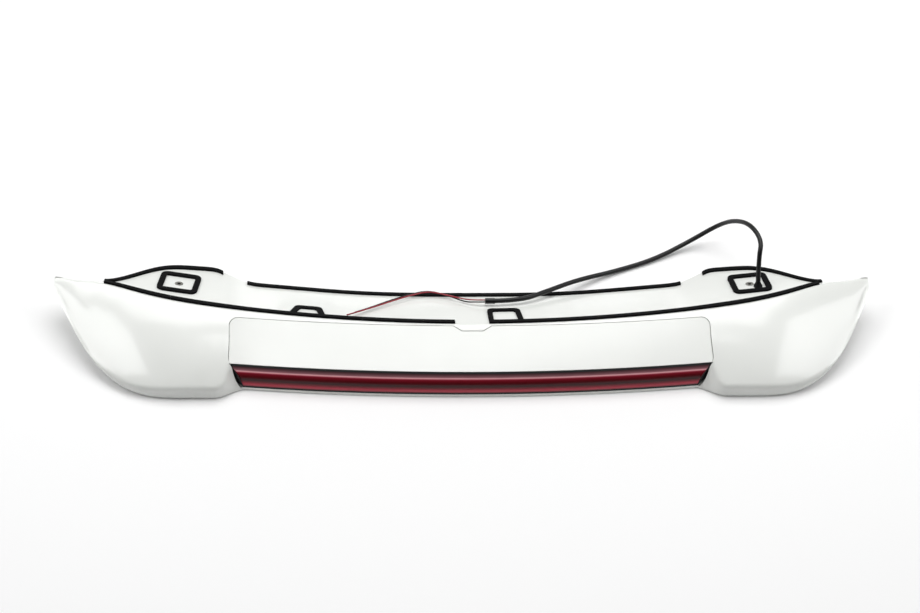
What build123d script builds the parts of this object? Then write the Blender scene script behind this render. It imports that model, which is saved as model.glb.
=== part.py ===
from build123d import *
from scipy.interpolate import CubicSpline
import math
import os

# The spoiler lies upside down on its painted top skin, with the mounting face up.
# X runs along the span, -Y is the trailing edge with the lamp, Z is up. Sizes in millimetres.

# Overall size
SPAN = 1185.0
DEPTH = 226.0
WALL = 3.0
HOLLOW_SET = 24.0
STATION_COUNT = 24

# Top skin, which curls up from the floor towards the tips
TIP_RISE = 48.0
RISE_LENGTH = 180.0

# Trailing edge: straight in the middle, swept forward to the tips
SWEEP_LENGTH = 188.5
SWEEP_POWER = 3.0
EDGE_HEIGHT = 24.0
EDGE_HEIGHT_TIP = 4.0
EDGE_ROUND = 7.0
EDGE_FOOT = 4.0
TIP_CHORD = 13.0
WING_BULGE = 9.0

# Mounting face between its rear edge and its front edge
TIP_LENGTH = 70.5
FACE_HEIGHT = 58.0
FRONT_THICKNESS = 6.0
CORNER_LIFT = 10.0
CREST_SET = 3.0

# Lamp bay in the trailing edge
LAMP_RADIUS = 3600.0
LIP_SET = 1.8
LIP_HEIGHT = 4.5
SHOULDER_LENGTH = 50.0
LENS_HALF_TOP = 342.5
LENS_END_SLANT = 17.5
LENS_HALF_LOW = LENS_HALF_TOP - LENS_END_SLANT
LIP_END_SET = 4.0
LIP_HALF = LENS_HALF_LOW - LIP_END_SET
BAY_END_GAP = 1.5
BAY_HALF = LENS_HALF_TOP + BAY_END_GAP
BAY_BACK = 85.5
BAY_BACK_BOW = 17.0
BAY_CORNER = 12.0
TAB_WIDTH = 54.0
TAB_WIDTH_END = 30.0
TAB_LENGTH = 7.5
TAB_ROOT = 8.0
CUT_REACH = 30.0
CUT_UNDER = 10.0
CUT_FRONT = 150.0

# Painted panel above the lamp
PANEL_THICKNESS = 3.0
PANEL_GAP = 0.6
PANEL_SLOPE = 17.75
PANEL_FRONT = 19.3
PANEL_FRONT_HEIGHT = 36.0
CLIP_RADIUS = 3.0
CLIP_HEAD_RADIUS = 6.0
CLIP_HEAD = 1.5
CLIP_LENGTH = 11.0
CLIP_PLACE = 72.0
CLIP_COUNT = 4
CLIP_PITCH = 180.0
PANEL_TURN = 6.0

# Stop lamp
LAMP_GAP = 0.3
LAMP_BACK = 46.0
LAMP_WALL = 2.0
LENS_THICKNESS = 2.5
LENS_BULGE = 3.2
LENS_RIM = 2.2
LENS_END_RIM = 1.8
LENS_FOOT = 2.5
LENS_SEAT = 0.5
WINDOW_TOP = 6.0
ROOM_SLOPE = 6.0
LAMP_FLANGE = 14.0
LAMP_LEDGE_DROP = 9.0
SCREW_RADIUS = 1.75
SCREW_HEAD_RADIUS = 3.5
SCREW_HEAD = 2.0
SCREW_LENGTH = 12.0
SCREW_PLACE = 53.0
SCREW_COUNT = 6
SCREW_PITCH = 112.0
BOARD_THICKNESS = 1.6
BOARD_HEIGHT = 19.0
LED_COUNT = 24
LED_PITCH = 25.0
LED_SIZE = 3.5
LED_HEIGHT = 1.5
LED_WINDOW = 6.0
REFLECTOR_THICKNESS = 1.0
REFLECTOR_DEPTH = 24.0

# Fixing points
PAD_INSET = 105.0
PAD_SHARE = 0.505
INSERT_RADIUS = 4.5
INSERT_LENGTH = 13.0
INSERT_FLANGE_RADIUS = 6.0
INSERT_FLANGE = 1.0
THREAD_BORE_RADIUS = 2.5
BOSS_RADIUS = 9.0
BOSS_LENGTH = 16.0

# Foam tape
TAPE_WIDTH = 8.0
TAPE_THICKNESS = 3.0
TAPE_MARGIN = 1.5
GLUE = 0.15
RING_WIDTH = 58.0
RING_DEPTH = 54.0
RING_CORNER = 10.0
RING_TURN_LEFT = -5.0
RING_TURN_RIGHT = 0.0
HALF_RING_WIDTH = 50.0
HALF_RING_DEPTH_LEFT = 25.0
HALF_RING_DEPTH_RIGHT = 41.0
HALF_RING_TAPER_LEFT = 7.0
HALF_RING_TAPER_RIGHT = 1.5
HALF_RING_CORNER = 8.0
HALF_RING_TAPE = 7.0
HALF_RING_LEFT = -234.0
HALF_RING_RIGHT = 49.5
REAR_STRIP_GAP = 24.5
FRONT_STRIP_INSET = 202.0
EAR_STRIP = 167.0
CORNER_STRIP = 95.0
STRIP_JOINT = 0.4
STRIP_CORNER_GAP = 6.0
STRIP_PITCH = 25.0

# Lead
SHEATH_RADIUS = 3.5
GROMMET_RADIUS = 6.5
GROMMET_FLANGE = 2.0
GROMMET_HEIGHT = 6.0
GROMMET_TOP_RADIUS = 4.2
GROMMET_NECK_RADIUS = 4.5
GROMMET_DEPTH = 6.0
FIT_GAP = 0.1
CABLE_HOLE_OFFSET = 10.5
CABLE_HOLE_SHARE = 0.41
INNER_LEAD_RADIUS = 1.6
WIRE_RADIUS = 1.0
END_TAPE_LENGTH = 14.0
END_TAPE_THICKNESS = 0.6

HALF = SPAN / 2
TRAIL = -DEPTH / 2
FRONT = DEPTH / 2
CORNER = HALF - TIP_LENGTH
FRONT_STRIP_HALF = CORNER - FRONT_STRIP_INSET
PAD = CORNER - PAD_INSET
SWEEP_START = HALF - SWEEP_LENGTH

# Edges of the mounting face by distance from the centre plane: how far back from the foremost line
# they lie, and for the rear edge its extra height
REAR_EDGE = CubicSpline(
    [0, CORNER - 322, CORNER - 177, CORNER - 102, CORNER - 47, CORNER, HALF],
    [[138.5, 0], [129.5, 0.6], [112, 1.7], [98, 2.4], [81.5, 2.2], [64, 0.3], [51.5, -5]],
    bc_type=((1, [0, 0]), (2, [0, 0])))
FRONT_EDGE = CubicSpline(
    [0, CORNER - 372, CORNER - 232, CORNER - 198, CORNER - 176, CORNER - 154, CORNER - 127,
     CORNER - 97, CORNER - 62, CORNER - 22, CORNER + 3, CORNER + 38, HALF],
    [40.5, 38, 28, 22.5, 11.5, 2.4, 0.8, 2.3, 16, 41.8, 50.5, 50.2, 47.5],
    bc_type=((1, 0.0), (2, 0.0)))


def smooth(t):
    """Smooth step from 0 to 1."""
    t = min(max(t, 0.0), 1.0)
    return t * t * (3 - 2 * t)


def skin_height(a, y):
    """Height of the painted skin above the floor, at a from the centre plane."""
    share = min(max((y - TRAIL) / RISE_LENGTH, 0.0), 1.0)
    return TIP_RISE * (a / HALF) ** 3 * math.sin(math.pi / 2 * share)


def rear_edge(a):
    """Crest between the mounting face and the wing."""
    back, extra = REAR_EDGE(a)
    return FRONT - float(back), FACE_HEIGHT + float(extra)


def front_edge(a):
    """Front edge of the mounting face."""
    y = FRONT - float(FRONT_EDGE(a))
    ease = smooth((a - CORNER) / TIP_LENGTH)
    lift = CORNER_LIFT * smooth((a - PAD) / PAD_INSET) * (1 - ease)
    return y, skin_height(a, y) + FRONT_THICKNESS + lift


def trailing_edge(a):
    """Rearmost line of the section and the stretch of an oblique cut there."""
    total = FRONT - float(FRONT_EDGE(HALF)) - TIP_CHORD - TRAIL
    t = max(0.0, (a - SWEEP_START) / SWEEP_LENGTH)
    slope = total * SWEEP_POWER * t ** (SWEEP_POWER - 1) / SWEEP_LENGTH
    return TRAIL + total * t ** SWEEP_POWER, min(math.hypot(1, slope), 1.5)


def unit(y, z):
    """Unit vector in a section."""
    size = math.hypot(y, z)
    return y / size, z / size


def turned(direction, degrees):
    """Direction in a section turned by an angle."""
    c = math.cos(math.radians(degrees))
    s = math.sin(math.radians(degrees))
    return direction[0] * c - direction[1] * s, direction[0] * s + direction[1] * c


class Section:
    """Named points of the cross-section at one station of the span."""

    def __init__(self, x):
        self.x = x
        a = abs(x)
        rear, stretch = trailing_edge(a)
        self.front = front_edge(a)
        chord = self.front[0] - rear
        foot = rear + min(EDGE_FOOT * stretch, 0.25 * chord)
        brow = rear + min(EDGE_ROUND * stretch, 0.35 * chord)
        ease = smooth((a - SWEEP_START) / SWEEP_LENGTH)
        height = EDGE_HEIGHT + (EDGE_HEIGHT_TIP - EDGE_HEIGHT) * ease
        low = skin_height(a, foot)
        self.foot = (foot, low)
        self.nose = (rear, low + 0.4 * height)
        self.brow = (brow, low + height)
        self.crest = rear_edge(a)
        chord_line = unit(self.crest[0] - brow, self.crest[1] - self.brow[1])
        self.wing_start = turned(chord_line, WING_BULGE)
        self.wing_end = turned(chord_line, -WING_BULGE)
        run = (self.front[0] - self.crest[0], self.front[1] - self.crest[1])
        self.face_length = math.hypot(*run)
        self.face = unit(*run)
        self.normal = (-self.face[1], self.face[0])

    def at(self, point):
        """Point of the section in space."""
        return Vector(self.x, point[0], point[1])

    def on_face(self, along, above=0.0):
        """Point on the mounting face, measured from the crest and above the face."""
        y = self.crest[0] + along * self.face[0] + above * self.normal[0]
        z = self.crest[1] + along * self.face[1] + above * self.normal[1]
        return Vector(self.x, y, z)

    def skin(self, rear, front, above=0.0):
        """Curve along the painted skin, from front to rear."""
        points = []
        for i in range(6):
            y = front + (rear - front) * i / 5
            points.append(Vector(self.x, y, skin_height(abs(self.x), y) + above))
        return Spline(*points)

    def outer(self):
        """Closed outline of the section."""
        reach = min(CREST_SET, 0.3 * self.face_length)
        end = self.wing_end
        before = (self.crest[0] - reach * end[0], self.crest[1] - reach * end[1])
        after = (self.crest[0] + reach * self.face[0], self.crest[1] + reach * self.face[1])
        turn = math.acos(end[0] * self.face[0] + end[1] * self.face[1])
        radius = reach / math.tan(turn / 2)
        inward = unit(self.face[0] - end[0], self.face[1] - end[1])
        sag = math.hypot(radius, reach) - radius
        top = (self.crest[0] + sag * inward[0], self.crest[1] + sag * inward[1])
        toe = (self.front[0], skin_height(abs(self.x), self.front[0]))
        nose = Spline(self.at(self.foot), self.at(self.nose), self.at(self.brow),
                      tangents=[(0, -1, 0.1), (0, self.wing_start[0], self.wing_start[1])])
        wing = Spline(self.at(self.brow), self.at(before),
                      tangents=[(0, self.wing_start[0], self.wing_start[1]), (0, end[0], end[1])])
        crest = ThreePointArc(self.at(before), self.at(top), self.at(after))
        face = Line(self.at(after), self.at(self.front))
        edge = Line(self.at(self.front), self.at(toe))
        return Wire([nose.edge(), wing.edge(), crest.edge(), face.edge(), edge.edge(),
                     self.skin(self.foot[0], toe[0]).edge()])

    def inner(self):
        """Closed outline of the hollow, one wall inside the section."""
        rear = self.foot[0] + WALL
        front = max(self.front[0] - HOLLOW_SET, self.crest[0] + WALL)
        low = self.skin(rear, front, WALL)
        rear_top = self.at((self.brow[0] + WALL, self.brow[1] - WALL))
        crest = self.at((self.crest[0], self.crest[1] - 1.5 * WALL))
        front_top = self.on_face((front - self.crest[0]) / self.face[0], -1.5 * WALL)
        return Wire([low.edge(), Line(low @ 1, rear_top).edge(), Line(rear_top, crest).edge(),
                     Line(crest, front_top).edge(), Line(front_top, low @ 0).edge()])


def both_sides(stations):
    """Stations of both halves of the span, in order."""
    return [-x for x in reversed(stations) if x > 0] + list(stations)


STATIONS = [HALF * i / STATION_COUNT for i in range(STATION_COUNT + 1)]


def body_blank():
    """Solid outer form of the spoiler."""
    return Solid.make_loft([Section(x).outer() for x in both_sides(STATIONS)])


def body_hollow():
    """Hollow inside the blown shell."""
    inside = [x for x in STATIONS if x <= CORNER]
    return Solid.make_loft([Section(x).inner() for x in both_sides(inside)])


# Lamp bay: profiles are (distance ahead of the trailing edge, height) at the centre plane

LAMP_AXIS = Axis((0, TRAIL + LIP_SET + LAMP_RADIUS, 0), (0, 0, 1))
LAMP_SWING = 2 * math.degrees(math.asin((BAY_HALF + CUT_REACH) / LAMP_RADIUS))
SLOPE = math.tan(math.radians(PANEL_SLOPE))
PANEL_DROP = PANEL_THICKNESS / math.cos(math.radians(PANEL_SLOPE))
LEDGE_END = LAMP_BACK + LAMP_FLANGE + 2
BAY_TOP = FACE_HEIGHT + 2 * CUT_REACH


def sag(a):
    """Distance that the lamp's curve falls back at a from the centre plane."""
    return a * a / (2 * LAMP_RADIUS)


def panel_height(d):
    """Height of the panel's outer face."""
    return PANEL_FRONT_HEIGHT + (d - PANEL_FRONT) * SLOPE


def ledge_height(d):
    """Height of the ledge that carries the lamp's flange."""
    return panel_height(d) - LAMP_LEDGE_DROP


def seat_height(d):
    """Height of the seat under the panel."""
    return panel_height(d) - PANEL_DROP - GLUE


def profile(points):
    """Face of a closed profile in the centre plane."""
    return Face(Wire.make_polygon([Vector(0, TRAIL + d, z) for d, z in points]))


def swung(face):
    """Solid of a profile swung along the curve of the lamp."""
    return revolve(face.rotate(LAMP_AXIS, -LAMP_SWING / 2), axis=LAMP_AXIS, revolution_arc=LAMP_SWING)


def along_lamp(shape, x):
    """Copy of a shape from the centre plane, moved along the curve of the lamp."""
    return shape.rotate(LAMP_AXIS, math.degrees(math.asin(x / LAMP_RADIUS)))


def spread(count, pitch):
    """Even places either side of the centre plane."""
    return [(i - (count - 1) / 2) * pitch for i in range(count)]


def bay_outline(side, back):
    """Plan of the lamp bay, drawn in at its ends and at its rear edge, as a tall prism."""
    low = LENS_HALF_LOW - side
    mid = LENS_HALF_TOP - side
    top = BAY_HALF - side
    open_y = TRAIL - CUT_REACH
    low_y = TRAIL + LIP_SET + sag(LENS_HALF_LOW) + 1.5
    mid_y = TRAIL + PANEL_FRONT + sag(LENS_HALF_TOP)
    top_y = mid_y + CUT_REACH
    back_y = TRAIL + BAY_BACK - back
    edges = []
    for s in (1, -1):
        edges.append(Line((s * low, open_y), (s * low, low_y)))
        edges.append(Spline((s * low, low_y), (s * mid, mid_y), (s * top, top_y),
                            tangents=[(s * 0.8, 1), (0, 1)]))
        edges.append(Line((s * top, top_y), (s * top, back_y + BAY_BACK_BOW)))
    edges.append(ThreePointArc((top, back_y + BAY_BACK_BOW), (0, back_y), (-top, back_y + BAY_BACK_BOW)))
    edges.append(Line((-low, open_y), (low, open_y)))
    plan = make_face(edges)
    corners = plan.vertices().sort_by(Axis.Y)[-2:]
    plan = fillet(corners, BAY_CORNER - side)
    wide = TAB_WIDTH / 2 + side
    slim = TAB_WIDTH_END / 2 + side
    root_y = back_y + TAB_ROOT
    end_y = back_y - TAB_LENGTH
    tab = Polygon((-wide, root_y), (-wide, back_y), (-slim, end_y), (slim, end_y), (wide, back_y),
                  (wide, root_y), align=None)
    return extrude(Pos(0, 0, -CUT_UNDER) * (plan - tab), BAY_TOP)


def bay(side, back, drop):
    """Room for the lamp and its panel, enlarged by the given amounts."""
    deep = LAMP_BACK + drop
    end = LEDGE_END + drop
    floor = LIP_HEIGHT - drop
    outline = [(-CUT_REACH, floor), (deep, floor), (deep, ledge_height(LAMP_BACK) - drop),
               (end, ledge_height(LEDGE_END) - drop), (end, seat_height(LEDGE_END) - drop),
               (CUT_FRONT, seat_height(CUT_FRONT) - drop), (CUT_FRONT, BAY_TOP), (-CUT_REACH, BAY_TOP)]
    return swung(profile(outline)) & bay_outline(-side, -back)


def lip_trim():
    """Cut that sets the lip under the lamp back from the wings."""
    end_y = TRAIL + LIP_SET + sag(LIP_HALF)
    far = LIP_HALF + SHOULDER_LENGTH
    clear_y = TRAIL - 1
    open_y = TRAIL - CUT_REACH
    edges = [ThreePointArc((-LIP_HALF, end_y), (0, TRAIL + LIP_SET), (LIP_HALF, end_y))]
    for s in (1, -1):
        edges.append(Spline((s * LIP_HALF, end_y), (s * far, clear_y),
                            tangents=[(s, LIP_HALF / LAMP_RADIUS), (s, -0.05)]))
        edges.append(Line((s * far, clear_y), (s * far, open_y)))
    edges.append(Line((-far, open_y), (far, open_y)))
    return extrude(Pos(0, 0, -CUT_UNDER) * make_face(edges), BAY_TOP)


def rod(place, radius, start, end):
    """Round bar along the normal of a plane, between two distances from it."""
    bar = Cylinder(radius, end - start, align=(Align.CENTER, Align.CENTER, Align.MIN))
    return place.offset(start) * bar


def slope_place(d, height):
    """Plane square to the panel's slope, in the centre plane."""
    tilt = math.radians(PANEL_SLOPE)
    return Plane((0, TRAIL + d, height), x_dir=(1, 0, 0), z_dir=(0, -math.sin(tilt), math.cos(tilt)))


def face_place(x, share, offset=0.0):
    """Plane that lies on the mounting face, at a share of its width plus an offset."""
    points = []
    for station in (x - 5, x, x + 5):
        section = Section(station)
        points.append(section.on_face(share * section.face_length + offset))
    along = points[2] - points[0]
    face = Section(x).face
    return Plane(points[1], x_dir=along, z_dir=along.cross(Vector(0, face[0], face[1])))


# Painted panel and its clips

def lamp_panel():
    """Cover above the lamp, with its front edge turned down."""
    inside = PANEL_FRONT + PANEL_THICKNESS
    low = PANEL_FRONT_HEIGHT - PANEL_TURN
    high = panel_height(CUT_FRONT)
    plate = profile([(PANEL_FRONT, low), (PANEL_FRONT, PANEL_FRONT_HEIGHT), (CUT_FRONT, high),
                     (CUT_FRONT, high - PANEL_DROP), (inside, panel_height(inside) - PANEL_DROP),
                     (inside, low)])
    return swung(plate) & bay_outline(PANEL_GAP, PANEL_GAP)


CLIP_UNDER = slope_place(CLIP_PLACE, panel_height(CLIP_PLACE) - PANEL_DROP - FIT_GAP)


def panel_clips():
    """Push pins between the panel and its seat."""
    pin = (rod(CLIP_UNDER, CLIP_HEAD_RADIUS, -CLIP_HEAD, 0)
           + rod(CLIP_UNDER, CLIP_RADIUS, -CLIP_LENGTH, -CLIP_HEAD))
    return [along_lamp(pin, x) for x in spread(CLIP_COUNT, CLIP_PITCH)]


def clip_holes():
    """Holes in the seat for the push pins."""
    hole = (rod(CLIP_UNDER, CLIP_HEAD_RADIUS + FIT_GAP, -CLIP_HEAD - FIT_GAP, 1)
            + rod(CLIP_UNDER, CLIP_RADIUS + FIT_GAP, -CLIP_LENGTH, 1))
    return [along_lamp(hole, x) for x in spread(CLIP_COUNT, CLIP_PITCH)]


# Stop lamp

LAMP_FOOT = (LIP_SET + 1.1, LIP_HEIGHT + LAMP_GAP)
LAMP_BROW = (PANEL_FRONT - 2 * LAMP_GAP, PANEL_FRONT_HEIGHT - 2 * LAMP_GAP)
LAMP_RISE = math.hypot(LAMP_BROW[0] - LAMP_FOOT[0], LAMP_BROW[1] - LAMP_FOOT[1])
LAMP_UP = unit(LAMP_BROW[0] - LAMP_FOOT[0], LAMP_BROW[1] - LAMP_FOOT[1])
FLANGE_TOP = LAMP_GAP + LAMP_WALL
WINDOW_RIM = LENS_RIM + LENS_FOOT - LENS_SEAT


def on_lamp(along, out=0.0):
    """Point on the lamp's front plane, measured up from its foot and out of it."""
    return (LAMP_FOOT[0] + along * LAMP_UP[0] - out * LAMP_UP[1],
            LAMP_FOOT[1] + along * LAMP_UP[1] + out * LAMP_UP[0])


def lamp_screw_place():
    """Plane on the lamp's flange at the screws."""
    return slope_place(SCREW_PLACE, ledge_height(SCREW_PLACE) + FLANGE_TOP)


def lamp_housing():
    """Tray of the lamp, open at the lens."""
    back = LAMP_BACK - LAMP_GAP
    tail = LAMP_BACK + LAMP_FLANGE
    under = PANEL_FRONT_HEIGHT - PANEL_TURN - 2 * LAMP_GAP
    behind = PANEL_FRONT + PANEL_THICKNESS + 2 * LAMP_GAP
    step = back - LAMP_WALL
    solid = swung(profile([
        LAMP_FOOT, (back, LAMP_FOOT[1]), (back, ledge_height(back) + LAMP_GAP),
        (tail, ledge_height(tail) + LAMP_GAP), (tail, ledge_height(tail) + FLANGE_TOP),
        (step, ledge_height(step) + FLANGE_TOP), (behind, under), (LAMP_BROW[0], under), LAMP_BROW]))
    low = LAMP_FOOT[1] + LAMP_WALL
    roof = under - LAMP_WALL
    room = swung(profile([
        on_lamp(WINDOW_RIM, CUT_UNDER), on_lamp(WINDOW_RIM), (LAMP_FOOT[0] + ROOM_SLOPE, low), (step, low),
        (step, ledge_height(step) - LAMP_GAP), (behind + 1, roof), (LAMP_BROW[0] - 1, roof),
        on_lamp(LAMP_RISE - WINDOW_TOP), on_lamp(LAMP_RISE - WINDOW_TOP, CUT_UNDER)]))
    tray = solid & bay_outline(2 * LAMP_GAP, 0)
    tray = tray - (room & bay_outline(LENS_END_RIM + LENS_FOOT - LENS_SEAT, 0))
    hole = rod(lamp_screw_place(), SCREW_RADIUS + FIT_GAP, -2 * FLANGE_TOP, 5)
    return tray - [along_lamp(hole, x) for x in spread(SCREW_COUNT, SCREW_PITCH)]


def lamp_lens():
    """Bowed shell of the lens, standing on the rim of the housing."""
    low = LENS_RIM
    high = LAMP_RISE - LENS_RIM - 0.6
    mid = (low + high) / 2
    points = []
    for along, out in ((low, 0), (mid, LENS_BULGE), (high, 0), (high - LENS_FOOT, 0),
                       (mid, LENS_BULGE - LENS_THICKNESS), (low + LENS_FOOT, 0)):
        d, z = on_lamp(along, out)
        points.append(Vector(0, TRAIL + d, z))
    edges = [ThreePointArc(*points[0:3]), Line(points[2], points[3]), ThreePointArc(*points[3:6]),
             Line(points[5], points[0])]
    shell = Face(Wire([e.edge() for e in edges]))
    return swung(shell) & bay_outline(LENS_END_RIM, 0)


def lamp_screws():
    """Screws through the flange of the housing."""
    place = lamp_screw_place()
    screw = rod(place, SCREW_HEAD_RADIUS, 0, SCREW_HEAD) + rod(place, SCREW_RADIUS, -SCREW_LENGTH, 0)
    return [along_lamp(screw, x) for x in spread(SCREW_COUNT, SCREW_PITCH)]


def screw_holes():
    """Pilot holes in the ledge."""
    hole = rod(lamp_screw_place(), SCREW_RADIUS + FIT_GAP, -SCREW_LENGTH, 0)
    return [along_lamp(hole, x) for x in spread(SCREW_COUNT, SCREW_PITCH)]


BOARD_BACK = LAMP_BACK - LAMP_GAP - LAMP_WALL - FIT_GAP
BOARD_FRONT = BOARD_BACK - BOARD_THICKNESS
BOARD_LOW = LAMP_FOOT[1] + LAMP_WALL + FIT_GAP
LED_LEVEL = BOARD_LOW + BOARD_HEIGHT / 2


def lamp_board():
    """Circuit board on edge against the back of the housing."""
    top = BOARD_LOW + BOARD_HEIGHT
    plate = profile([(BOARD_FRONT, BOARD_LOW), (BOARD_BACK, BOARD_LOW), (BOARD_BACK, top),
                     (BOARD_FRONT, top)])
    return swung(plate) & bay_outline(LENS_END_RIM + 2 * LENS_FOOT, 0)


def lamp_leds():
    """Diodes along the front of the board."""
    led = Pos(0, TRAIL + BOARD_FRONT - LED_HEIGHT / 2, LED_LEVEL) * Box(LED_SIZE, LED_HEIGHT, LED_SIZE)
    return [along_lamp(led, x) for x in spread(LED_COUNT, LED_PITCH)]


def lamp_reflector():
    """Bright angle leaf with a window for each diode."""
    face = BOARD_FRONT - 2 * LED_HEIGHT
    top = BOARD_LOW + BOARD_HEIGHT - LAMP_WALL
    near = face - REFLECTOR_DEPTH
    inner = face - REFLECTOR_THICKNESS
    upper = BOARD_LOW + REFLECTOR_THICKNESS
    leaf = swung(profile([(near, BOARD_LOW), (face, BOARD_LOW), (face, top), (inner, top), (inner, upper),
                          (near, upper)]))
    leaf = leaf & bay_outline(LENS_END_RIM + 2 * LENS_FOOT, 0)
    window = Pos(0, TRAIL + face, LED_LEVEL) * Box(LED_WINDOW, LED_WINDOW, LED_WINDOW)
    return leaf - [along_lamp(window, x) for x in spread(LED_COUNT, LED_PITCH)]


# Fixing points

def insert(side):
    """Threaded insert of one fixing point."""
    place = face_place(side * PAD, PAD_SHARE)
    bar = (rod(place, INSERT_FLANGE_RADIUS, -INSERT_FLANGE, 0)
           + rod(place, INSERT_RADIUS, -INSERT_LENGTH, -INSERT_FLANGE))
    return bar - rod(place, THREAD_BORE_RADIUS, -INSERT_LENGTH - 1, 1)


def insert_boss(side):
    """Thickening of the body round an insert."""
    return rod(face_place(side * PAD, PAD_SHARE), BOSS_RADIUS, -BOSS_LENGTH, -WALL / 2)


def insert_hole(side):
    """Seat of an insert in the body."""
    place = face_place(side * PAD, PAD_SHARE)
    return (rod(place, INSERT_FLANGE_RADIUS + FIT_GAP, -INSERT_FLANGE, 5)
            + rod(place, INSERT_RADIUS + FIT_GAP, -INSERT_LENGTH - FIT_GAP, 0))


# Foam tape

def rear_tape(section):
    """Borders of the strip along the rear edge."""
    return TAPE_MARGIN, TAPE_MARGIN + TAPE_WIDTH


def front_tape(section):
    """Borders of the strip along the front edge."""
    return section.face_length - TAPE_MARGIN - TAPE_WIDTH, section.face_length - TAPE_MARGIN


def whole_face(section):
    """Borders of the mounting face inside its rounded edges."""
    return CREST_SET, section.face_length - TAPE_MARGIN


def tape(start, end, borders):
    """Foam tape laid on the mounting face between two stations."""
    count = math.ceil((end - start) / STRIP_PITCH)
    wires = []
    for i in range(count + 1):
        section = Section(start + (end - start) * i / count)
        rear, front = borders(section)
        top = GLUE + TAPE_THICKNESS
        wires.append(Wire.make_polygon([section.on_face(rear, GLUE), section.on_face(front, GLUE),
                                        section.on_face(front, top), section.on_face(rear, top)]))
    return Solid.make_loft(wires)


def tape_patch(place, outline, reach):
    """Foam tape of a given outline laid on the mounting face."""
    x = place.origin.X
    return tape(x - reach, x + reach, whole_face) & extrude(place * outline, 4 * TAPE_THICKNESS, both=True)


def foam_ring(side, turn):
    """Ring round a fixing point, laid by hand with a small turn."""
    inner = RectangleRounded(RING_WIDTH - 2 * TAPE_WIDTH, RING_DEPTH - 2 * TAPE_WIDTH,
                             RING_CORNER - TAPE_WIDTH)
    ring = RectangleRounded(RING_WIDTH, RING_DEPTH, RING_CORNER) - inner
    return tape_patch(face_place(side * PAD, PAD_SHARE), Rot(0, 0, turn) * ring, RING_WIDTH)


def half_ring_outline(half, depth, taper, corner, foot):
    """Outline that stands on the rear strip and narrows away from it."""
    outline = Polygon((-half, foot), (half, foot), (half - taper, depth), (taper - half, depth), align=None)
    return fillet(outline.vertices().sort_by(Axis.Y)[-2:], corner)


def foam_half_ring(x, depth, taper):
    """Half ring that stands on the rear strip."""
    place = face_place(x, 0, TAPE_MARGIN + TAPE_WIDTH + STRIP_JOINT)
    half = HALF_RING_WIDTH / 2
    inner = half_ring_outline(half - HALF_RING_TAPE, depth - HALF_RING_TAPE, taper,
                              HALF_RING_CORNER - HALF_RING_TAPE / 2, -1)
    ring = half_ring_outline(half, depth, taper, HALF_RING_CORNER, 0) - inner
    return tape_patch(place, ring, HALF_RING_WIDTH)


# Lead

CABLE_PLACE = face_place(PAD + CABLE_HOLE_OFFSET, CABLE_HOLE_SHARE)


def cable_grommet():
    """Grommet moulded round the lead."""
    cone = Cone(GROMMET_RADIUS - 0.5, GROMMET_TOP_RADIUS, GROMMET_HEIGHT - GROMMET_FLANGE,
                align=(Align.CENTER, Align.CENTER, Align.MIN))
    return (rod(CABLE_PLACE, GROMMET_RADIUS, GLUE, GROMMET_FLANGE)
            + rod(CABLE_PLACE, GROMMET_NECK_RADIUS, -GROMMET_DEPTH, GLUE)
            + CABLE_PLACE.offset(GROMMET_FLANGE) * cone)


def above_face(x, y, height):
    """Point at a height above the mounting face."""
    section = Section(x)
    fall = section.face[1] / section.face[0]
    return Vector(x, y, section.crest[1] + (y - section.crest[0]) * fall + height)


def bend_radii(points):
    """Radius of each bend, from the shorter run beside it."""
    radii = []
    for before, here, after in zip(points, points[1:], points[2:]):
        one = here - before
        two = after - here
        half = math.radians(one.get_angle(two)) / 2
        radii.append(0.45 * min(one.length, two.length) / math.tan(half))
    return radii


def tube(points, radius):
    """Round lead of straight runs joined by tangent arcs."""
    path = FilletPolyline(*points, radius=bend_radii(points))
    solid = sweep(Plane(origin=path @ 0, z_dir=path % 0) * Circle(radius), path=path)
    print("lead: least bend %.1f, length %.1f, volume share %.4f"
          % (min(bend_radii(points)), path.length, solid.volume / (math.pi * radius ** 2 * path.length)))
    return solid


SHEATH_RISE = 42.0
SHEATH_LEAVE = 50.0
WIRE_LEAVE = 12.0
WIRE_SIDE = Vector(0, 1.3, 0.6)
SHEATH_START = CABLE_PLACE.origin + CABLE_PLACE.z_dir * GROMMET_HEIGHT
SHEATH_END = Vector(24, 37, 34)
SHEATH_ROUTE = [SHEATH_START, SHEATH_START + CABLE_PLACE.z_dir * SHEATH_RISE,
                Vector(429, 95, 102.5), Vector(417, 130, 100), Vector(402, 163, 71), Vector(385, 182, 37),
                Vector(348, 174, 11), Vector(290, 143, 3.6), Vector(226, 119, 3.6), Vector(168, 95, 13),
                Vector(119, 65, 23.5), SHEATH_END + Vector(SHEATH_LEAVE, 0, 0), SHEATH_END]
RED_START = SHEATH_END + WIRE_SIDE
BLACK_START = SHEATH_END - WIRE_SIDE
RED_ROUTE = [RED_START, RED_START - Vector(WIRE_LEAVE, 0, 0), above_face(-4, 46, 6.5),
             above_face(-28, 57, 8.5), above_face(-55, 70, 9.5), above_face(-83, 58, 7.5),
             above_face(-114, 37.5, 6), above_face(-146, 12.5, 6), above_face(-178, -11, 7)]
BLACK_ROUTE = [BLACK_START, BLACK_START - Vector(WIRE_LEAVE, 0, 0), above_face(-4, 41, 4),
               above_face(-28, 61, 5.5), above_face(-56, 75, 7.5), above_face(-84, 63, 6),
               above_face(-115, 42.5, 5), above_face(-144, 17.5, 5), above_face(-166, 0, 6)]
LEAD_CLEARANCE = 0.1
LEAD_START = Vector(LENS_HALF_TOP + LEAD_CLEARANCE, TRAIL + 35, 15)
LEAD_END = CABLE_PLACE.origin - CABLE_PLACE.z_dir * GROMMET_DEPTH
LEAD_LEAVE = 24.0
LEAD_DROP = 15.0
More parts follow.
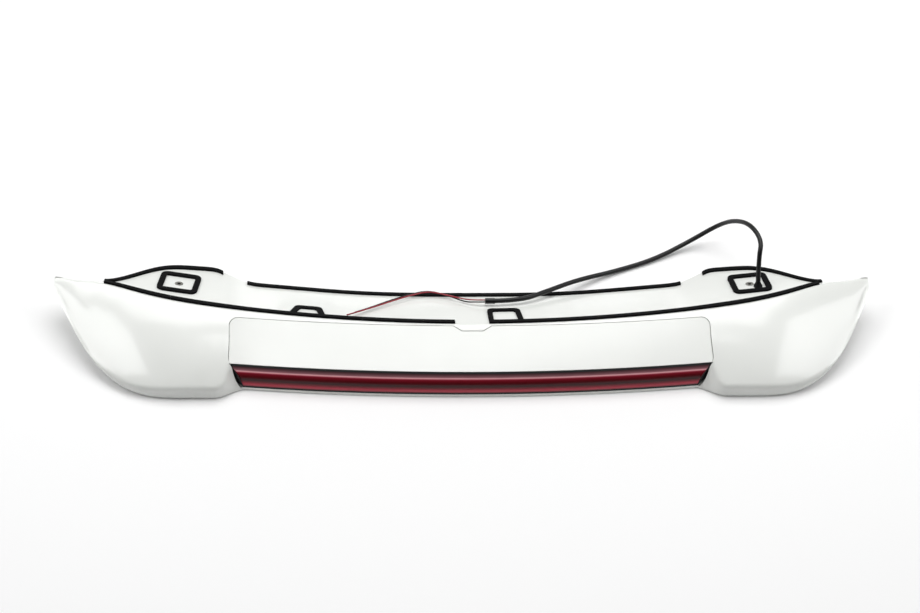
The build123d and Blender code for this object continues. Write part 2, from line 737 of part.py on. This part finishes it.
LEAD_ROUTE = [LEAD_START, LEAD_START + Vector(LEAD_LEAVE, 0, 0), Vector(398, -42, 20),
              Vector(420, 10, 25), LEAD_END - CABLE_PLACE.z_dir * LEAD_DROP, LEAD_END]


def sheath_end_tape():
    """Turns of tape round the end of the sheath."""
    place = Plane(SHEATH_END, z_dir=(1, 0, 0))
    radius = SHEATH_RADIUS + FIT_GAP
    outside = rod(place, radius + END_TAPE_THICKNESS, 0, END_TAPE_LENGTH)
    return outside - rod(place, radius, 0, END_TAPE_LENGTH)


def spoiler_body():
    """Hollow shell with the lamp bay, bosses and holes."""
    hollow = body_hollow() - bay(WALL, WALL, WALL)
    hollow = hollow - [insert_boss(side) for side in (-1, 1)]
    wall = Plane(LEAD_START, z_dir=(1, 0, 0))
    lead_hole = rod(wall, INNER_LEAD_RADIUS + 4 * FIT_GAP, -CUT_UNDER, CUT_UNDER)
    cable_hole = rod(CABLE_PLACE, GROMMET_NECK_RADIUS + FIT_GAP, -GROMMET_DEPTH, 5)
    body = body_blank()
    for cut in [insert_hole(-1), insert_hole(1), cable_hole, lip_trim(), bay(0, 0, 0), hollow, lead_hole]:
        body = body - cut
    return body - clip_holes() - screw_holes()


def main():
    """Builds every piece and writes it to its own file."""
    left_ear = tape(-CORNER, EAR_STRIP - CORNER, front_tape)
    left_rear = tape(-CORNER, CORNER_STRIP - CORNER, rear_tape)
    pieces = {
        "spoiler_body": spoiler_body(),
        "lamp_panel": lamp_panel(),
        "panel_clips": Compound(children=panel_clips()),
        "lamp_lens": lamp_lens(),
        "lamp_housing": lamp_housing(),
        "lamp_screws": Compound(children=lamp_screws()),
        "lamp_board": lamp_board(),
        "lamp_leds": Compound(children=lamp_leds()),
        "lamp_reflector": lamp_reflector(),
        "insert_left": insert(-1),
        "insert_right": insert(1),
        "foam_left_corner": left_ear + left_rear,
        "foam_near_left": tape(CORNER_STRIP - CORNER + STRIP_JOINT, -REAR_STRIP_GAP, rear_tape),
        "foam_near_right": tape(REAR_STRIP_GAP, CORNER - STRIP_CORNER_GAP, rear_tape),
        "foam_front_centre": tape(-FRONT_STRIP_HALF, FRONT_STRIP_HALF, front_tape),
        "foam_front_right": tape(CORNER - EAR_STRIP, CORNER, front_tape),
        "foam_ring_left": foam_ring(-1, RING_TURN_LEFT),
        "foam_ring_right": foam_ring(1, RING_TURN_RIGHT),
        "foam_half_ring_left": foam_half_ring(HALF_RING_LEFT, HALF_RING_DEPTH_LEFT, HALF_RING_TAPER_LEFT),
        "foam_half_ring_right": foam_half_ring(HALF_RING_RIGHT, HALF_RING_DEPTH_RIGHT,
                                               HALF_RING_TAPER_RIGHT),
        "cable_grommet": cable_grommet(),
        "cable_sheath": tube(SHEATH_ROUTE, SHEATH_RADIUS),
        "sheath_end_tape": sheath_end_tape(),
        "wire_red": tube(RED_ROUTE, WIRE_RADIUS),
        "wire_black": tube(BLACK_ROUTE, WIRE_RADIUS),
        "lamp_lead": tube(LEAD_ROUTE, INNER_LEAD_RADIUS),
    }
    os.makedirs("parts", exist_ok=True)
    for name, shape in pieces.items():
        print(name, shape.is_valid, len(shape.solids()), round(shape.volume), shape.bounding_box())
        export_step(shape, "parts/" + name + ".step")


if __name__ == "__main__":
    main()
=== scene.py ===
import math

import bmesh
import bpy
from mathutils import Matrix, Vector


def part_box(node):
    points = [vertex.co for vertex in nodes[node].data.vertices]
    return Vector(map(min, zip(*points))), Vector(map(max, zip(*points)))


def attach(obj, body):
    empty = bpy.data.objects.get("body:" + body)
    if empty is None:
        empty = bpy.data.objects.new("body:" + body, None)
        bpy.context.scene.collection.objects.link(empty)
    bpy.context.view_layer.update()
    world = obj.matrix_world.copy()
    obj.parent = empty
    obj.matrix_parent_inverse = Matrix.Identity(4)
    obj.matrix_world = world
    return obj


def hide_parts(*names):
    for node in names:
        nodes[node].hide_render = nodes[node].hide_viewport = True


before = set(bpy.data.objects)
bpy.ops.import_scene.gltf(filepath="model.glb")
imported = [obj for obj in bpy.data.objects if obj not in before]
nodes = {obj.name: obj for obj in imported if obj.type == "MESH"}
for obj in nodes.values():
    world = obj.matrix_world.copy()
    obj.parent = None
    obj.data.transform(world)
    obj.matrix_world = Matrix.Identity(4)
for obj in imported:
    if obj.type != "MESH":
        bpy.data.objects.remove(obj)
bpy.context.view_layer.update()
scene = bpy.context.scene
MM = 0.001


# Colour and node helpers

def linear(hex_colour):
    """Linear colour with alpha from an sRGB hex value."""
    values = []
    for i in (0, 2, 4):
        c = int(hex_colour[i:i + 2], 16) / 255
        values.append(c / 12.92 if c <= 0.04045 else ((c + 0.055) / 1.055) ** 2.4)
    return (*values, 1.0)


def add_node(tree, kind, settings=None, inputs=None):
    """Adds a node, sets its properties, and sets or links its inputs."""
    node = tree.nodes.new(kind)
    for name, value in (settings or {}).items():
        setattr(node, name, value)
    for name, value in (inputs or {}).items():
        if isinstance(value, bpy.types.NodeSocket):
            tree.links.new(value, node.inputs[name])
        else:
            node.inputs[name].default_value = value
    return node


def new_material(name):
    """Material with an empty node tree, and its output node."""
    material = bpy.data.materials.new(name)
    material.use_nodes = True
    material.node_tree.nodes.clear()
    output = material.node_tree.nodes.new("ShaderNodeOutputMaterial")
    return material, material.node_tree, output


def set_ramp(ramp, stops):
    """Colour stops of a ramp node."""
    elements = ramp.color_ramp.elements
    while len(elements) > 1:
        elements.remove(elements[-1])
    elements[0].position = stops[0][0]
    elements[0].color = linear(stops[0][1])
    for position, colour in stops[1:]:
        elements.new(position).color = linear(colour)


def per_metre(size_mm):
    """Noise scale that gives features of about the given size on metre coordinates."""
    return 1 / (size_mm * MM)


# Materials

def white_lacquer():
    """Two-coat car paint on blown plastic: clear gloss over white, with a faint orange peel."""
    material, tree, output = new_material("white_car_lacquer")
    place = add_node(tree, "ShaderNodeTexCoord")
    cloud = add_node(tree, "ShaderNodeTexNoise", None,
                     {"Vector": place.outputs["Object"], "Scale": per_metre(140), "Detail": 2.0})
    tone = add_node(tree, "ShaderNodeValToRGB", None, {"Fac": cloud.outputs["Fac"]})
    set_ramp(tone, [(0.35, "E7E9E5"), (0.65, "ECEEEA")])
    peel = add_node(tree, "ShaderNodeTexNoise", None,
                    {"Vector": place.outputs["Object"], "Scale": per_metre(3.5), "Detail": 1.0})
    bump = add_node(tree, "ShaderNodeBump", None,
                    {"Height": peel.outputs["Fac"], "Strength": 0.05, "Distance": 0.0002})
    paint = add_node(tree, "ShaderNodeBsdfPrincipled", None,
                     {"Base Color": tone.outputs["Color"], "Roughness": 0.32, "IOR": 1.5, "Coat Weight": 1.0,
                      "Coat Roughness": 0.12, "Coat IOR": 1.5, "Normal": bump.outputs["Normal"]})
    tree.links.new(paint.outputs["BSDF"], output.inputs["Surface"])
    return material


def red_lens():
    """Moulded red acrylic, deep red, with painted reflections in bands by height: a paler red painted floor
    reflection along its foot, a pale painted highlight line under its top edge and a mauve painted ceiling
    reflection above it; darker at both edges.
    """
    material, tree, output = new_material("red_lamp_acrylic")
    low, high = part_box("lamp_lens")
    place = add_node(tree, "ShaderNodeTexCoord")
    split = add_node(tree, "ShaderNodeSeparateXYZ", None, {"Vector": place.outputs["Object"]})
    level = add_node(tree, "ShaderNodeMapRange", None,
                     {"Value": split.outputs["Z"], "From Min": low.z, "From Max": high.z})
    painted_reflection_bands = add_node(tree, "ShaderNodeValToRGB", None, {"Fac": level.outputs["Result"]})
    # Painted light by height: floor reflection low down, then a dark middle, a highlight line and a ceiling
    # reflection near the top
    set_ramp(painted_reflection_bands, [(0.0, "70383C"), (0.05, "9C404A"), (0.12, "C83A4E"), (0.2, "B42A40"), (0.29, "7A1624"),
                     (0.41, "38080E"), (0.52, "48060F"), (0.64, "600814"), (0.75, "801828"), (0.79, "B4505E"),
                     (0.83, "F2B4BC"), (0.87, "98646A"), (0.92, "704A50"), (1.0, "3A2628")])
    flutes = add_node(tree, "ShaderNodeTexWave", {"wave_type": "BANDS", "bands_direction": "X"},
                      {"Vector": place.outputs["Object"], "Scale": 0.314 * per_metre(5)})
    ribs = add_node(tree, "ShaderNodeBump", None,
                    {"Height": flutes.outputs["Fac"], "Strength": 0.06, "Distance": 0.0004})
    lens = add_node(tree, "ShaderNodeBsdfPrincipled", None,
                    {"Base Color": painted_reflection_bands.outputs["Color"], "Roughness": 0.2, "IOR": 1.5,
                     "Specular IOR Level": 0.2, "Coat Weight": 0.2, "Coat Roughness": 0.03, "Coat IOR": 1.5,
                     "Normal": ribs.outputs["Normal"]})
    tree.links.new(lens.outputs["BSDF"], output.inputs["Surface"])
    return material


def grained(name, dark, light, grain_mm, depth_mm, roughness, strength=0.3, gloss=0.5):
    """Plastic, rubber or foam whose tone and surface vary with a fine grain, sized in millimetres."""
    material, tree, output = new_material(name)
    place = add_node(tree, "ShaderNodeTexCoord")
    grain = add_node(tree, "ShaderNodeTexNoise", None,
                     {"Vector": place.outputs["Object"], "Scale": per_metre(grain_mm), "Detail": 3.0})
    tone = add_node(tree, "ShaderNodeValToRGB", None, {"Fac": grain.outputs["Fac"]})
    set_ramp(tone, [(0.35, dark), (0.65, light)])
    bump = add_node(tree, "ShaderNodeBump", None,
                    {"Height": grain.outputs["Fac"], "Strength": strength, "Distance": depth_mm * MM})
    surface = add_node(tree, "ShaderNodeBsdfPrincipled", None,
                       {"Base Color": tone.outputs["Color"], "Roughness": roughness, "IOR": 1.5,
                        "Specular IOR Level": gloss, "Normal": bump.outputs["Normal"]})
    tree.links.new(surface.outputs["BSDF"], output.inputs["Surface"])
    return material


def plated_steel(name, colour, roughness, scratch_mm):
    """Bright plated metal with fine turning marks."""
    material, tree, output = new_material(name)
    place = add_node(tree, "ShaderNodeTexCoord")
    marks = add_node(tree, "ShaderNodeTexNoise", None,
                     {"Vector": place.outputs["Object"], "Scale": per_metre(scratch_mm), "Detail": 2.0})
    rough = add_node(tree, "ShaderNodeMapRange", None,
                     {"Value": marks.outputs["Fac"], "To Min": roughness * 0.7, "To Max": roughness * 1.3})
    metal = add_node(tree, "ShaderNodeBsdfPrincipled", None,
                     {"Base Color": linear(colour), "Metallic": 1.0, "Roughness": rough.outputs["Result"]})
    tree.links.new(metal.outputs["BSDF"], output.inputs["Surface"])
    return material


LACQUER = white_lacquer()
LENS_RED = red_lens()
# Lamp tray and clips: satin black with a fine moulded grain
LAMP_BLACK = grained("black_moulded_abs", "101011", "161617", 0.8, 0.05, 0.4)
# Sealing strips: dead black cells that hardly shine
FOAM = grained("black_closed_cell_foam", "060607", "111112", 0.9, 0.25, 0.9, 0.5, 0.12)
# Lead: smooth extruded skin with a soft sheen
SHEATH_PVC = grained("black_pvc_sheath", "0B0B0C", "131315", 2.5, 0.05, 0.36, 0.3, 0.35)
# Grommet: dull black with a slight bloom
RUBBER = grained("black_moulded_rubber", "0A0A0B", "121213", 1.5, 0.08, 0.55, 0.3, 0.25)
# End tape: glossy black wraps that are not quite even
TAPE_PVC = grained("black_pvc_tape", "070708", "0F0F10", 4.0, 0.08, 0.3, 0.3, 0.35)
# Wire insulation: smooth and slightly shiny
WIRE_RED = grained("red_pvc_insulation", "8C1424", "9E2030", 2.0, 0.03, 0.4)
WIRE_BLACK = grained("black_pvc_insulation", "0B0B0D", "151517", 2.0, 0.03, 0.4, 0.3, 0.3)
# Circuit board: even green film with a soft gloss
BOARD_GREEN = grained("green_board_resist", "0E4A24", "12582C", 3.0, 0.02, 0.35)
# Diodes: pale matt mouldings
LED_WHITE = grained("pale_led_moulding", "C9C2A8", "DAD4BC", 1.0, 0.02, 0.5)
# Inserts and screws: grey metal with a broken shine
STEEL = plated_steel("zinc_plated_steel", "B9B8B2", 0.28, 0.6)
# Reflector: near mirror
BRIGHT = plated_steel("bright_metallised_leaf", "D8D8DA", 0.12, 2.0)

NODE_MATERIALS = {
    "spoiler_body": LACQUER, "lamp_panel": LACQUER, "lamp_lens": LENS_RED, "lamp_housing": LAMP_BLACK,
    "panel_clips": LAMP_BLACK, "lamp_screws": STEEL, "lamp_board": BOARD_GREEN, "lamp_leds": LED_WHITE,
    "lamp_reflector": BRIGHT, "insert_left": STEEL, "insert_right": STEEL, "cable_grommet": RUBBER,
    "sheath_end_tape": TAPE_PVC, "lamp_lead": SHEATH_PVC,
}
for name, node in nodes.items():
    material = FOAM if name.startswith("foam_") else NODE_MATERIALS.get(name, SHEATH_PVC)
    node.data.materials.clear()
    node.data.materials.append(material)


# Painted shell: the solid's skin, with the inner ends of its wings rounded down to the lens
# Both borders run from the floor up to the panel, in millimetres, on the right wing

LENS_BORDER = [(323.5, -97.3, 0.9), (326.5, -96.8, 3.5), (329.5, -95.2, 6.5), (332.5, -92.8, 11),
               (335.2, -89.8, 16.5), (337.2, -86.6, 22), (338.6, -83.6, 27), (340.2, -80.8, 32.5),
               (343.8, -78.3, 37.5)]
WING_BORDER = [(366, -111.0, 0.6), (366, -112.7, 3), (366, -112.7, 9), (366, -112.5, 15),
               (363.5, -110.9, 20.4), (360, -106.1, 24.5), (356.5, -99.1, 27.95), (352, -90.0, 32.25),
               (347, -78.3, 37.6)]
# Pull of the rounding at each border, at the panel and at the floor, as a share of the width between them
WING_PULL = (Vector((-0.5, 0, 0)), Vector((-0.35, 0, 0)))
LENS_PULL = (Vector((0.21, -0.21, 0)), Vector((0.3, -0.045, 0)))
SHOULDER_ROWS = 36
SHOULDER_COLUMNS = 14
# Block of the solid's skin that makes room for the shoulder
CUT_INNER = 324.6
CUT_OUTER = 346.0
CUT_FACING = (-0.892, -0.452, 0.0)
CUT_FRONT = -78.3
CUT_FLOOR = 5.0
# Part of the skin that the cuts look at
NEAR_INNER = 300.0
NEAR_OUTER = 400.0
NEAR_FRONT = -60.0
MERGE_DISTANCE = 0.001
SHARP_ANGLE = 0.5


def eased(points, share):
    """Point on a smooth curve through the given points."""
    place = share * (len(points) - 1)
    start = min(int(place), len(points) - 2)
    t = place - start
    a, b, c, d = (Vector(points[min(max(start + k, 0), len(points) - 1)]) for k in (-1, 0, 1, 2))
    return 0.5 * (2 * b + (c - a) * t + (2 * a - 5 * b + 4 * c - d) * t ** 2 + (3 * b - 3 * c + d - a) * t ** 3)


def shoulder_point(across, up):
    """Point of the rounded skin, by shares from the wing to the lens and from the floor to the panel."""
    wing = eased(WING_BORDER, up)
    lens = eased(LENS_BORDER, up)
    width = (wing - lens).length
    low = (1 - up) ** 2
    wing_pull = wing + WING_PULL[0].lerp(WING_PULL[1], low) * width
    lens_pull = lens + LENS_PULL[0].lerp(LENS_PULL[1], low) * width
    first = wing.lerp(wing_pull, across)
    middle = wing_pull.lerp(lens_pull, across)
    last = lens_pull.lerp(lens, across)
    return first.lerp(middle, across).lerp(middle.lerp(last, across), across)


def add_shoulder(shape, side):
    """Rounded skin from the wing to the border of the lens."""
    grid = bmesh.ops.create_grid(shape, x_segments=SHOULDER_COLUMNS, y_segments=SHOULDER_ROWS, size=0.5)
    for vertex in grid["verts"]:
        x, y, z = shoulder_point(vertex.co.x + 0.5, vertex.co.y + 0.5) * MM
        vertex.co = (side * x, y, z)
    if side > 0:
        faces = {f for v in grid["verts"] for f in v.link_faces}
        bmesh.ops.reverse_faces(shape, faces=list(faces))


def beside_lamp(face, side):
    """Whether a face reaches the skin beside one end of the lamp."""
    places = [v.co / MM for v in face.verts]
    return any(NEAR_INNER < side * p.x < NEAR_OUTER and p.y < NEAR_FRONT for p in places)


def open_wing(shape, side):
    """Takes the inner end of one wing off the skin."""
    facing_x, facing_y, facing_z = CUT_FACING
    corner = Vector((side * CUT_OUTER, CUT_FRONT, 0)) * MM
    facing = Vector((side * facing_x, facing_y, facing_z))
    cuts = [(corner, facing), (corner, Vector((0, 1, 0))), (Vector((0, 0, CUT_FLOOR)) * MM, Vector((0, 0, 1))),
            (Vector((side * CUT_INNER, 0, 0)) * MM, Vector((1, 0, 0)))]
    for place, direction in cuts:
        near = [f for f in shape.faces if beside_lamp(f, side)]
        edges = {e for f in near for e in f.edges}
        points = {v for f in near for v in f.verts}
        block = near + list(edges) + list(points)
        bmesh.ops.bisect_plane(shape, geom=block, plane_co=place, plane_no=direction)
    taken = []
    for face in shape.faces:
        centre = face.calc_center_median()
        inner = (centre - corner).dot(facing) > 0 and side * centre.x > CUT_INNER * MM
        if inner and centre.y < CUT_FRONT * MM and centre.z > CUT_FLOOR * MM:
            taken.append(face)
    bmesh.ops.delete(shape, geom=taken, context="FACES")


def painted_shell():
    """Body whose wings close on the ends of the lamp."""
    shape = bmesh.new()
    shape.from_mesh(nodes["spoiler_body"].data)
    bmesh.ops.remove_doubles(shape, verts=shape.verts, dist=MERGE_DISTANCE * MM)
    for side in (-1, 1):
        open_wing(shape, side)
        add_shoulder(shape, side)
    for face in shape.faces:
        face.smooth = True
    for edge in shape.edges:
        edge.smooth = len(edge.link_faces) == 2 and edge.calc_face_angle() < SHARP_ANGLE
    mesh = bpy.data.meshes.new("painted_shell")
    shape.to_mesh(mesh)
    shape.free()
    # The merged skin is shaded from its own faces
    normals = mesh.attributes.get("custom_normal")
    if normals:
        mesh.attributes.remove(normals)
    mesh.materials.append(LACQUER)
    shell = bpy.data.objects.new("painted_shell", mesh)
    scene.collection.objects.link(shell)
    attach(shell, "root")
    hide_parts("spoiler_body")


painted_shell()


# Loose lead: control points of each route in millimetres

SHEATH_POINTS = [(426.9, 57.3, 51.2), (423.0, 72.4, 90.2), (429, 95, 102.5), (417, 130, 100),
                 (402, 163, 71), (385, 182, 37), (348, 174, 11), (290, 143, 3.6), (226, 119, 3.6),
                 (168, 95, 13), (119, 65, 23.5), (74, 37, 34), (24, 37, 34)]
RED_POINTS = [(24, 38.3, 34.6), (12, 38.3, 34.6), (-4, 46, 26.6), (-28, 57, 22.7), (-55, 70, 16.9),
              (-83, 58, 21.6), (-114, 37.5, 31.8), (-146, 12.5, 46.4), (-178, -11, 61.5)]
BLACK_POINTS = [(24, 35.7, 33.4), (12, 35.7, 33.4), (-4, 41, 26.7), (-28, 61, 17.6), (-56, 75, 12.3),
                (-84, 63, 17.4), (-115, 42.5, 28.1), (-144, 17.5, 42.6), (-166, 0, 54.0)]


def lead(name, points, radius_mm, material):
    """Round lead as a smooth curve through the route's control points."""
    curve = bpy.data.curves.new(name, "CURVE")
    curve.dimensions = "3D"
    spline = curve.splines.new("NURBS")
    spline.points.add(len(points) - 1)
    for point, (x, y, z) in zip(spline.points, points):
        point.co = (x * MM, y * MM, z * MM, 1.0)
    spline.order_u = 3
    spline.use_endpoint_u = True
    spline.resolution_u = 10
    curve.bevel_depth = radius_mm * MM
    curve.bevel_resolution = 4
    curve.use_fill_caps = True
    curve.materials.append(material)
    piece = bpy.data.objects.new(name, curve)
    scene.collection.objects.link(piece)
    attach(piece, "root")
    return piece


sheath = lead("lead_sheath", SHEATH_POINTS, 3.5, SHEATH_PVC)
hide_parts("cable_sheath")
red_wire = lead("lead_red_wire", RED_POINTS, 1.0, WIRE_RED)
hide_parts("wire_red")
black_wire = lead("lead_black_wire", BLACK_POINTS, 1.0, WIRE_BLACK)
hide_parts("wire_black")


# Floor, light and camera

def studio_floor():
    """Wide pale floor that stays white to the camera and keeps the object's shadow."""
    material, tree, output = new_material("white_studio_floor")
    path = add_node(tree, "ShaderNodeLightPath")
    matte = add_node(tree, "ShaderNodeBsdfDiffuse", None, {"Color": linear("F4F4F4")})
    lift = add_node(tree, "ShaderNodeEmission", None, {"Color": linear("FFFFFF"), "Strength": 0.06})
    shown = add_node(tree, "ShaderNodeMath", {"operation": "MAXIMUM"},
                     {0: path.outputs["Is Camera Ray"], 1: path.outputs["Is Glossy Ray"]})
    both = add_node(tree, "ShaderNodeAddShader", None, {0: matte.outputs["BSDF"], 1: lift.outputs["Emission"]})
    mix = add_node(tree, "ShaderNodeMixShader", None,
                   {"Fac": shown.outputs["Value"], 1: matte.outputs["BSDF"], 2: both.outputs["Shader"]})
    tree.links.new(mix.outputs["Shader"], output.inputs["Surface"])
    mesh = bpy.data.meshes.new("studio_floor")
    shape = bmesh.new()
    bmesh.ops.create_grid(shape, x_segments=1, y_segments=1, size=6.0)
    bmesh.ops.translate(shape, verts=shape.verts, vec=(0, 0, -0.0002))
    shape.to_mesh(mesh)
    shape.free()
    mesh.materials.append(material)
    floor = bpy.data.objects.new("studio_floor", mesh)
    scene.collection.objects.link(floor)


def studio_world():
    """White room that is darker low down on the camera's side."""
    world = bpy.data.worlds.new("studio_room")
    scene.world = world
    world.use_nodes = True
    tree = world.node_tree
    tree.nodes.clear()
    output = tree.nodes.new("ShaderNodeOutputWorld")
    path = add_node(tree, "ShaderNodeLightPath")
    place = add_node(tree, "ShaderNodeTexCoord")
    split = add_node(tree, "ShaderNodeSeparateXYZ", None, {"Vector": place.outputs["Generated"]})
    back = add_node(tree, "ShaderNodeMapRange", None,
                    {"Value": split.outputs["Y"], "From Min": -0.7, "From Max": 0.5,
                     "To Min": 0.06, "To Max": 0.4})
    shown = add_node(tree, "ShaderNodeMix", {"data_type": "FLOAT"},
                     {"Factor": path.outputs["Is Camera Ray"], "A": back.outputs["Result"], "B": 1.0})
    room = add_node(tree, "ShaderNodeBackground", None,
                    {"Color": linear("FFFFFF"), "Strength": shown.outputs["Result"]})
    tree.links.new(room.outputs["Background"], output.inputs["Surface"])


def softbox(name, place, aim, width, depth, power):
    """Rectangular soft light aimed at a point."""
    light = bpy.data.lights.new(name, "AREA")
    light.shape = "RECTANGLE"
    light.size = width
    light.size_y = depth
    light.energy = power
    lamp = bpy.data.objects.new(name, light)
    lamp.location = place
    direction = [a - p for a, p in zip(aim, place)]
    lamp.rotation_euler = (math.atan2(math.hypot(direction[0], direction[1]), -direction[2]), 0.0,
                           math.atan2(direction[1], direction[0]) - math.pi / 2)
    scene.collection.objects.link(lamp)


studio_floor()
studio_world()
# Name, place, point aimed at, width and depth in metres, and power in watts
SOFTBOXES = [
    ("overhead_strip", (0.223, 0.181, 2.4), (0.221, 0.191, 0.0), 1.45, 0.45, 8.5),
    ("rear_overhead_softbox", (0.0, 1.2, 2.3), (0.0, 0.0, 0.0), 2.6, 1.4, 38.0),
    ("left_softbox", (-1.9, 0.0, 2.1), (-0.3, 0.0, 0.0), 1.2, 1.2, 18.0),
    ("right_softbox", (2.0, 0.0, 2.0), (0.3, 0.0, 0.0), 1.2, 1.2, 15.0),
]
for settings in SOFTBOXES:
    softbox(*settings)

# The camera stands a little to the left of the spoiler and is turned and tilted with it
CAMERA_YAW = math.radians(8.0)
CAMERA_ELEVATION = math.radians(50.48)
CAMERA_ROLL = math.radians(6.16)
CAMERA_DISTANCE = 2.885
CAMERA_TARGET = Vector((-0.0139, 0.0218, 0.04))
CAMERA_SENSOR = 36.0
FOCAL_PIXELS = 2000.0
PICTURE_PIXELS = 920.0

camera = bpy.data.cameras.new("photo_camera")
camera.lens = CAMERA_SENSOR * FOCAL_PIXELS / PICTURE_PIXELS
camera.sensor_width = CAMERA_SENSOR
viewer = bpy.data.objects.new("photo_camera", camera)
turn = Matrix.Rotation(-CAMERA_YAW, 4, "Z") @ Matrix.Rotation(math.pi / 2 - CAMERA_ELEVATION, 4, "X")
viewer.matrix_world = (Matrix.Translation(CAMERA_TARGET) @ turn @ Matrix.Translation((0, 0, CAMERA_DISTANCE))
                       @ Matrix.Rotation(CAMERA_ROLL, 4, "Z"))
scene.collection.objects.link(viewer)
scene.camera = viewer
scene.view_settings.view_transform = "Standard"
